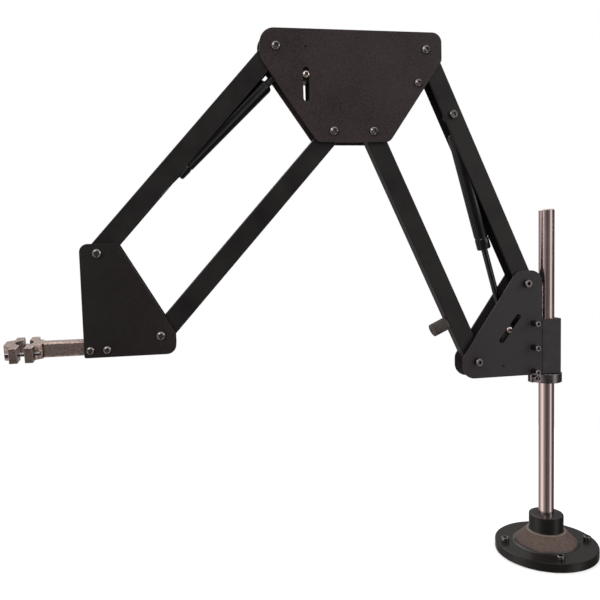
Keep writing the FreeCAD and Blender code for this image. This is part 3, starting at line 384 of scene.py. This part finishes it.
plate_face = -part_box("shoulder_plate_front")[0].y
block_low, block_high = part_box("block_screws")
screw_x = (block_low.x + block_high.x) / 2
stand_off, block_head_radius = 0.010, 0.005
screw_levels = (block_low.z + block_head_radius, (block_low.z + block_high.z) / 2,
                block_high.z - block_head_radius)
block_places = [Matrix.Translation((screw_x, side * (plate_face + stand_off), level)) @ turn
                for side, turn in ((-1, to_front), (1, to_back)) for level in screw_levels]
set_out(cap_screw("block_cap_screw", shank=6, long=22, head=10, tall=6, socket=5),
        black_oxide, "bracket", "black_oxide", "block_screws", block_places)

collar_low, collar_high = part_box("collar_screw")
collar_head_tall = 0.006
collar_seat = Matrix.Translation(((collar_low.x + collar_high.x) / 2, collar_low.y + collar_head_tall,
                                  (collar_low.z + collar_high.z) / 2))
set_out(cap_screw("collar_cap_screw", shank=6, long=12, head=10, tall=6, socket=5),
        black_oxide, "collar", "black_oxide", "collar_screw", [collar_seat @ to_front])

shoulder_pivots = (joint_place["lower_arm"], joint_place["lower_parallel"])
to_face = Vector((0, plate_face, 0))
set_out(cap_screw("shoulder_cap_screw", shank=8, long=44, head=13, tall=8, socket=6),
        black_oxide, "bracket", "black_oxide", "shoulder_pivot_bolts",
        [Matrix.Translation(pivot - to_face) @ to_front for pivot in shoulder_pivots])

clamp_centre = joint_place["clamp_tilt"]
clamp_lean = Matrix.Rotation(math.radians(8.5), 4, "X")
bore_out, jaw_face, ear_out = 0.0267, 0.01625, 0.0225
clamp_places = [Matrix.Translation((clamp_centre.x - bore_out, 0, clamp_centre.z)) @ clamp_lean
                @ Matrix.Translation((-jaw_face, y, 0)) @ Matrix.Rotation(math.radians(-90), 4, "Y")
                for y in (-ear_out, ear_out)]
set_out(cap_screw("clamp_cap_screw", shank=6, long=42, head=10, tall=6, socket=5),
        black_oxide, "tool_clamp", "black_oxide", "clamp_bolts", clamp_places)

bolt_low, bolt_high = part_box("spring_anchor_bolt")
bolt_head_tall = 0.0048
bolt_seat = Matrix.Translation(((bolt_low.x + bolt_high.x) / 2, bolt_low.y + bolt_head_tall,
                                (bolt_low.z + bolt_high.z) / 2))
set_out(cap_screw("spring_cap_screw", shank=8, long=29.2, head=13, tall=4.8, socket=6),
        black_oxide, "lower_outer", "black_oxide", "spring_anchor_bolt", [bolt_seat @ to_front])


# Button head screws: the same black oxide steel with a low domed head, on the elbow's and head's
# pivots, on the bar and on the stop. The domes catch the light as bright rings.
def button_screw(name, shank, long, head, tall, socket, deeper=0.0):
    """A button head screw standing on Z: its head's underside at 0; sizes in mm."""
    r, h = shank / 2, head / 2
    dome = [(h * math.cos(math.radians(a)), 0.5 + (tall - 0.5) * math.sin(math.radians(a)))
            for a in (0, 14, 28, 42, 56)]
    model = turned(name, [(r * 0.78, -long), (r, -long + r * 0.25), (r, 0.0), (h - 0.25, 0.0)] + dome
                   + [(h * 0.5, tall), (h * 0.44, tall - 0.05)], sides=48)
    bore(model, sides=6, radius=socket / math.sqrt(3), low=tall * 0.35 - deeper, high=tall + 2)
    smooth(model, degrees=30)
    return model


down_link = joint_place["lower_parallel"] - joint_place["lower_arm"]
across_link = joint_place["forearm_parallel"] - joint_place["forearm"]
elbow_pivots = (joint_place["elbow_level"], joint_place["elbow_level"] + down_link,
                joint_place["forearm"], joint_place["forearm_parallel"])
head_pivots = (joint_place["head_level"], joint_place["head_level"] + across_link)
for body, pivots in (("elbow", elbow_pivots), ("head", head_pivots)):
    set_out(button_screw(body + "_button_screw", shank=8, long=44, head=14, tall=4.4, socket=5),
            black_oxide, body, "black_oxide", body + "_pivot_bolts",
            [Matrix.Translation(pivot - to_face) @ to_front for pivot in pivots])

bar_low, bar_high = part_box("bar_screws")
bar_head_radius = 0.006
bar_places = [Matrix.Translation((x, side * plate_face, (bar_low.z + bar_high.z) / 2)) @ turn
              for side, turn in ((-1, to_front), (1, to_back))
              for x in (bar_low.x + bar_head_radius, bar_high.x - bar_head_radius)]
set_out(button_screw("bar_button_screw", shank=6, long=12, head=12, tall=3.5, socket=4),
        black_oxide, "head", "black_oxide", "bar_screws", bar_places)
stop_low, stop_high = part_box("stop_spacer")
stop_middle = (stop_low + stop_high) / 2
stop_places = [Matrix.Translation(stop_middle + side * to_face) @ turn
               for side, turn in ((-1, to_front), (1, to_back))]
set_out(button_screw("stop_button_screw", shank=6, long=12, head=13, tall=4.4, socket=4),
        black_oxide, "elbow", "black_oxide", "stop_screws", stop_places)


# Lock nuts behind the pivots: pressed steel hexagons with a bevelled crown and a nylon ring.
# They're turned up as a cone and cut to six sides, as a nut's corners are.
def lock_nut(name):
    """An M8 lock nut standing on Z from 0 to 8 mm."""
    model = turned(name, [(6.6, 0.0), (7.5, 0.6), (7.5, 5.2), (6.7, 5.9), (5.9, 6.2), (5.6, 7.4),
                          (5.1, 8.0), (4.1, 8.0), (4.05, 0.0), (6.6, 0.0)], sides=48)
    half_across_flats = 6.5
    corner_radius = half_across_flats / math.cos(math.radians(30)) * MM
    bpy.ops.object.select_all(action="DESELECT")
    bpy.ops.mesh.primitive_cylinder_add(vertices=6, radius=corner_radius, depth=0.03)
    sides = bpy.context.object
    bpy.context.view_layer.objects.active = model
    trim = model.modifiers.new("sides", "BOOLEAN")
    trim.object = sides
    trim.operation = "INTERSECT"
    trim.solver = "EXACT"
    bpy.ops.object.modifier_apply(modifier="sides")
    bpy.data.objects.remove(sides)
    smooth(model, degrees=25)
    return model


for body, cad_node, pivots in (("bracket", "shoulder_pivot_nuts", shoulder_pivots),
                               ("elbow", "elbow_pivot_nuts", elbow_pivots),
                               ("head", "head_pivot_nuts", head_pivots)):
    set_out(lock_nut(cad_node.replace("pivot_nuts", "lock_nut")), black_oxide, body, "black_oxide",
            cad_node, [Matrix.Translation(pivot + to_face) @ to_back for pivot in pivots])


# Side plates: 3 mm steel, laser cut, edges broken and powder coated in satin black.
# Baked powder has a fine orange peel, drawn at 2.5 mm. On the elbow the coat has browned and
# dulled a little. The head's end is painted darker as painted shade, and the bracket's end a
# cooler grey as painted shading.
powder_coat, shader, here = start_material("satin_powder_coat", metallic=0.0, roughness=0.46)
shader.inputs["Specular IOR Level"].default_value = 0.22
peel = add_node(powder_coat, "ShaderNodeTexNoise",
    {"Vector": here, "Scale": 400.0, "Detail": 3.0, "Roughness": 0.6})
dust = add_node(powder_coat, "ShaderNodeTexNoise",
    {"Vector": here, "Scale": 9.0, "Detail": 5.0, "Roughness": 0.6})
speck = add_node(powder_coat, "ShaderNodeMapRange",
    {"Value": peel.outputs["Fac"], "From Min": 0.35, "From Max": 0.75})
fleck = add_node(powder_coat, "ShaderNodeMix",
    {"Factor": speck.outputs[0], "A": linear("#130e0e"), "B": linear("#2e2222")}, data_type="RGBA")
film = add_node(powder_coat, "ShaderNodeMapRange",
    {"Value": dust.outputs["Fac"], "From Min": 0.4, "From Max": 0.75, "To Max": 0.3})
faded = add_node(powder_coat, "ShaderNodeMix",
    {"Factor": film.outputs[0], "A": fleck.outputs[2], "B": linear("#35282a")}, data_type="RGBA")
along = add_node(powder_coat, "ShaderNodeSeparateXYZ", {"Vector": here}).outputs["X"]
# Painted shade: the coat darkens towards the head's end, beyond 0.5 m out along X.
outer = add_node(powder_coat, "ShaderNodeMapRange",
    {"Value": along, "From Min": -0.5, "From Max": -0.7, "To Max": 0.75})
head_shaded_coat = add_node(powder_coat, "ShaderNodeMix",
    {"Factor": outer.outputs[0], "A": faded.outputs[2], "B": linear("#0e0b0b")}, data_type="RGBA")
# Painted shading: the coat turns a cooler grey towards the bracket's end.
bracket_painted_shade = add_node(powder_coat, "ShaderNodeMapRange",
    {"Value": along, "From Min": -0.19, "From Max": -0.1, "To Max": 0.8})
shaded = add_node(powder_coat, "ShaderNodeMix",
    {"Factor": bracket_painted_shade.outputs[0], "A": head_shaded_coat.outputs[2], "B": linear("#232124")}, data_type="RGBA")
powder_coat.node_tree.links.new(shaded.outputs[2], shader.inputs["Base Color"])
rub = add_node(powder_coat, "ShaderNodeMapRange",
    {"Value": dust.outputs["Fac"], "From Min": 0.3, "From Max": 0.7, "To Min": 0.4,
     "To Max": 0.55})
powder_coat.node_tree.links.new(rub.outputs[0], shader.inputs["Roughness"])
peel_bump = add_node(powder_coat, "ShaderNodeBump",
    {"Height": peel.outputs["Fac"], "Strength": 0.12, "Distance": 0.0004})
powder_coat.node_tree.links.new(peel_bump.outputs[0], shader.inputs["Normal"])
dress(powder_coat, "shoulder_plate_front", "shoulder_plate_back", "elbow_plate_front",
      "elbow_plate_back", "head_plate_front", "head_plate_back")


# Links: folded steel channels and closed sections, in a slightly glossier black than the plates.
# Handling has rubbed them in soft patches about 45 mm across; the paint's peel is drawn at 2.4 mm.
link_coat, shader, here = start_material("gloss_powder_coat", metallic=0.0, roughness=0.38)
shader.inputs["Specular IOR Level"].default_value = 0.2
peel = add_node(link_coat, "ShaderNodeTexNoise", {"Vector": here, "Scale": 420.0, "Detail": 3.0})
patch = add_node(link_coat, "ShaderNodeTexNoise", {"Vector": here, "Scale": 22.0, "Detail": 4.0})
shade = add_node(link_coat, "ShaderNodeMix",
    {"Factor": patch.outputs["Fac"], "A": linear("#0b0a0b"), "B": linear("#1d1918")},
    data_type="RGBA")
link_coat.node_tree.links.new(shade.outputs[2], shader.inputs["Base Color"])
rub = add_node(link_coat, "ShaderNodeMapRange",
    {"Value": patch.outputs["Fac"], "From Min": 0.3, "From Max": 0.7, "To Min": 0.3,
     "To Max": 0.46})
link_coat.node_tree.links.new(rub.outputs[0], shader.inputs["Roughness"])
peel_bump = add_node(link_coat, "ShaderNodeBump",
    {"Height": peel.outputs["Fac"], "Strength": 0.1, "Distance": 0.0004})
link_coat.node_tree.links.new(peel_bump.outputs[0], shader.inputs["Normal"])
dress(link_coat, "lower_outer_link", "lower_inner_link", "forearm_outer_link", "forearm_inner_link",
      "forearm_spring_pin")


# Bearing block and gas spring eyes: milled steel, blackened and oiled.
# The cutter leaves fine level lines, drawn 1.5 mm apart.
blackened, shader, here = start_material("oiled_black_steel", metallic=0.3, roughness=0.34)
shader.inputs["Specular IOR Level"].default_value = 0.25
cutter_lines = add_node(blackened, "ShaderNodeMapping",
    {"Vector": here, "Scale": (60.0, 60.0, 660.0)})
tracks = add_node(blackened, "ShaderNodeTexNoise",
    {"Vector": cutter_lines.outputs[0], "Scale": 1.0, "Detail": 3.0})
oil = add_node(blackened, "ShaderNodeTexNoise", {"Vector": here, "Scale": 60.0, "Detail": 3.0})
skin = add_node(blackened, "ShaderNodeMix",
    {"Factor": oil.outputs["Fac"], "A": linear("#161416"), "B": linear("#343033")},
    data_type="RGBA")
blackened.node_tree.links.new(skin.outputs[2], shader.inputs["Base Color"])
gloss = add_node(blackened, "ShaderNodeMapRange",
    {"Value": oil.outputs["Fac"], "From Min": 0.3, "From Max": 0.7, "To Min": 0.26,
     "To Max": 0.42})
blackened.node_tree.links.new(gloss.outputs[0], shader.inputs["Roughness"])
track_bump = add_node(blackened, "ShaderNodeBump",
    {"Height": tracks.outputs["Fac"], "Strength": 0.12, "Distance": 0.0003})
blackened.node_tree.links.new(track_bump.outputs[0], shader.inputs["Normal"])
dress(blackened, "bearing_block", "lower_spring_tube_eye", "lower_spring_rod_eye",
      "upper_spring_tube_eye", "upper_spring_rod_eye")


# Turned small parts inside the joints: sleeves, spacer and pistons of plain steel, browned pins
# and sliders, and bronze bushes. Their surfaces are finely speckled, at 1 to 2 mm.
turned_steel, shader, here = start_material("turned_steel", metallic=1.0, roughness=0.3)
mark = add_node(turned_steel, "ShaderNodeTexNoise", {"Vector": here, "Scale": 900.0, "Detail": 2.0})
metal = add_node(turned_steel, "ShaderNodeMix",
    {"Factor": mark.outputs["Fac"], "A": linear("#6f6864"), "B": linear("#a39b96")},
    data_type="RGBA")
turned_steel.node_tree.links.new(metal.outputs[2], shader.inputs["Base Color"])
dress(turned_steel, "lower_outer_sleeves", "lower_inner_sleeves", "forearm_outer_sleeves",
      "forearm_inner_sleeves", "stop_spacer", "upper_anchor_pin", "lower_spring_piston",
      "upper_spring_piston")
pin_steel, shader, here = start_material("browned_pin_steel", metallic=0.8, roughness=0.45)
mark = add_node(pin_steel, "ShaderNodeTexNoise", {"Vector": here, "Scale": 500.0, "Detail": 3.0})
metal = add_node(pin_steel, "ShaderNodeMix",
    {"Factor": mark.outputs["Fac"], "A": linear("#0c0a0a"), "B": linear("#241f1e")},
    data_type="RGBA")
pin_steel.node_tree.links.new(metal.outputs[2], shader.inputs["Base Color"])
dress(pin_steel, "lower_cross_pin", "upper_cross_pin", "lower_anchor_slider", "upper_anchor_slider")
bronze, shader, here = start_material("bearing_bronze", metallic=1.0, roughness=0.35)
mark = add_node(bronze, "ShaderNodeTexNoise", {"Vector": here, "Scale": 500.0, "Detail": 3.0})
metal = add_node(bronze, "ShaderNodeMix",
    {"Factor": mark.outputs["Fac"], "A": linear("#7d5a2c"), "B": linear("#b98a4c")},
    data_type="RGBA")
bronze.node_tree.links.new(metal.outputs[2], shader.inputs["Base Color"])
dress(bronze, "column_bushes")


# Slot screws and adjusting screws: zinc plated steel, the bright points in the black plates.
# A slot screw clamps its slider at the gas spring's setting; zinc has a grey spangle, here of 2 mm.
zinc, shader, here = start_material("zinc_plated_steel", metallic=1.0, roughness=0.25)
spangle = add_node(zinc, "ShaderNodeTexVoronoi", {"Vector": here, "Scale": 500.0})
plate = add_node(zinc, "ShaderNodeMix",
    {"Factor": spangle.outputs["Distance"], "A": linear("#bdb2ac"), "B": linear("#877d78")},
    data_type="RGBA")
zinc.node_tree.links.new(plate.outputs[2], shader.inputs["Base Color"])
dress(zinc, "lower_adjusting_screw", "upper_adjusting_screw")
for body, cad_node in (("bracket", "lower_slot_screw"), ("elbow", "upper_slot_screw")):
    low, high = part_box(cad_node)
    middle = (low + high) / 2
    model = button_screw(cad_node, shank=6, long=32, head=10.6, tall=3, socket=5, deeper=3.5)
    set_out(model, zinc, body, "zinc_steel", cad_node,
            [Matrix.Translation((middle.x, -plate_face, middle.z)) @ to_front])


# Gas springs: drawn steel tubes in gloss black with a rolled shoulder at the closed end and a rolled
# groove over the rod guide; the rods are nitrided and polished to a dark grey.
tube_paint, shader, here = start_material("gloss_black_tube", metallic=0.0, roughness=0.2)
shader.inputs["Specular IOR Level"].default_value = 0.2
shader.inputs["Coat Weight"].default_value = 0.12
shader.inputs["Coat Roughness"].default_value = 0.08
drift = add_node(tube_paint, "ShaderNodeTexNoise", {"Vector": here, "Scale": 60.0, "Detail": 3.0})
ink = add_node(tube_paint, "ShaderNodeMix",
    {"Factor": drift.outputs["Fac"], "A": linear("#030303"), "B": linear("#0d0c0d")},
    data_type="RGBA")
tube_paint.node_tree.links.new(ink.outputs[2], shader.inputs["Base Color"])
level_out = add_node(tube_paint, "ShaderNodeMapRange",
    {"Value": drift.outputs["Fac"], "To Min": 0.14, "To Max": 0.3})
tube_paint.node_tree.links.new(level_out.outputs[0], shader.inputs["Roughness"])
nitrided, shader, here = start_material("nitrided_rod", metallic=1.0, roughness=0.16)
draw = add_node(nitrided, "ShaderNodeTexNoise", {"Vector": here, "Scale": 120.0, "Detail": 3.0})
dark = add_node(nitrided, "ShaderNodeMix",
    {"Factor": draw.outputs["Fac"], "A": linear("#2a2a2e"), "B": linear("#4c4c52")},
    data_type="RGBA")
nitrided.node_tree.links.new(dark.outputs[2], shader.inputs["Base Color"])
dress(nitrided, "lower_spring_rod", "upper_spring_rod")
joint_axis = {joint["name"]: Vector(joint["axis"]) for joint in frame["joints"] if "axis" in joint}
tube_rings = [
    (5.06, 190.0), (5.06, 182.0), (9.5, 182.0), (9.5, 3.0), (5.0, 3.0), (5.0, 0.0), (6.4, 0.0),
    (8.6, 0.5), (10.3, 2.1), (11.0, 4.6), (11.0, 168.0), (10.75, 169.2), (10.2, 170.0),
    (10.1, 171.0), (10.2, 172.0), (10.75, 172.8), (11.0, 174.0), (11.0, 187.6), (10.6, 189.0),
    (9.7, 190.0), (7.0, 190.0), (6.6, 189.4), (5.4, 189.4), (5.06, 190.0)]
eye_to_tube = 0.028
for side in ("lower", "upper"):
    run = joint_axis[side + "_spring_stroke"].normalized()
    anchor = joint_place[side + "_spring_swing"]
    tube = turned(side + "_gas_tube", tube_rings, sides=64)
    tube.data.transform(Matrix.Translation(anchor + run * eye_to_tube)
                        @ run.to_track_quat("Z", "Y").to_matrix().to_4x4())
    smooth(tube, degrees=40)
    fit(tube, tube_paint, side + "_spring_tube", "spring_black", side + "_spring_tube")


# Bumper: a ribbed rubber buffer bolted to the lower inner link; the elbow's link lands on it
# when the arm folds. Moulded rubber is matt with a dusty bloom, drawn at 3 mm.
link_lean = joint_place["lower_arm"] - joint_place["elbow_level"]
outward = Vector((link_lean.z, 0, -link_lean.x)).normalized()
ribs = []
first_rib, rib_step = 5.0, 3.4
for rib in range(6):
    level = first_rib + rib_step * rib
    ribs += [(9.3, level - 0.9), (10.5, level - 0.2), (10.5, level + 1.3), (9.3, level + 2.0)]
foot_rings = [(9.6, 0.0), (10.5, 0.6), (10.5, 3.2)]
face_rings = [(10.5, 25.2), (10.5, 26.4), (9.9, 27.4), (8.7, 28.0), (4.2, 28.0), (3.6, 26.6),
              (3.2, 26.4)]
buffer = turned("rubber_bumper", foot_rings + ribs + face_rings, sides=64)
smooth(buffer, degrees=35)
up_link, link_half_width = 0.076, 0.015
buffer_root = (joint_place["lower_parallel"] - link_lean.normalized() * up_link
               + outward * link_half_width)
buffer.data.transform(Matrix.Translation(buffer_root)
                      @ outward.to_track_quat("Z", "Y").to_matrix().to_4x4())
rubber, shader, here = start_material("moulded_rubber", metallic=0.0, roughness=0.7)
bloom = add_node(rubber, "ShaderNodeTexNoise", {"Vector": here, "Scale": 300.0, "Detail": 5.0})
mat_black = add_node(rubber, "ShaderNodeMix",
    {"Factor": bloom.outputs["Fac"], "A": linear("#15110f"), "B": linear("#453a34")},
    data_type="RGBA")
rubber.node_tree.links.new(mat_black.outputs[2], shader.inputs["Base Color"])
pores = add_node(rubber, "ShaderNodeBump",
    {"Height": bloom.outputs["Fac"], "Strength": 0.3, "Distance": 0.0003})
rubber.node_tree.links.new(pores.outputs[0], shader.inputs["Normal"])
fit(buffer, rubber, "lower_inner", "rubber", "bumper")


# Bar and tool clamp: bare steel, milled and bead blasted, a little browned by handling.
# Cutter marks run along the bar, drawn as streaks 1.5 mm wide.
milled, shader, here = start_material("milled_steel", metallic=1.0, roughness=0.4)
streaks = add_node(milled, "ShaderNodeMapping", {"Vector": here, "Scale": (45.0, 650.0, 650.0)})
mill_lines = add_node(milled, "ShaderNodeTexNoise",
    {"Vector": streaks.outputs[0], "Scale": 1.0, "Detail": 4.0})
stain = add_node(milled, "ShaderNodeTexNoise",
    {"Vector": here, "Scale": 300.0, "Detail": 5.0, "Roughness": 0.65})
bare = add_node(milled, "ShaderNodeMix",
    {"Factor": mill_lines.outputs["Fac"], "A": linear("#75615a"), "B": linear("#d6c5be")},
    data_type="RGBA")
spot = add_node(milled, "ShaderNodeMapRange",
    {"Value": stain.outputs["Fac"], "From Min": 0.42, "From Max": 0.62, "To Max": 0.7})
browned = add_node(milled, "ShaderNodeMix",
    {"Factor": spot.outputs[0], "A": bare.outputs[2], "B": linear("#64504a")}, data_type="RGBA")
milled.node_tree.links.new(browned.outputs[2], shader.inputs["Base Color"])
blast = add_node(milled, "ShaderNodeMapRange",
    {"Value": stain.outputs["Fac"], "From Min": 0.3, "From Max": 0.7, "To Min": 0.32,
     "To Max": 0.5})
milled.node_tree.links.new(blast.outputs[0], shader.inputs["Roughness"])
mill_bump = add_node(milled, "ShaderNodeBump",
    {"Height": mill_lines.outputs["Fac"], "Strength": 0.15, "Distance": 0.0003})
milled.node_tree.links.new(mill_bump.outputs[0], shader.inputs["Normal"])
dress(milled, "extension_bar", "clamp_inner_jaw", "clamp_outer_jaw")
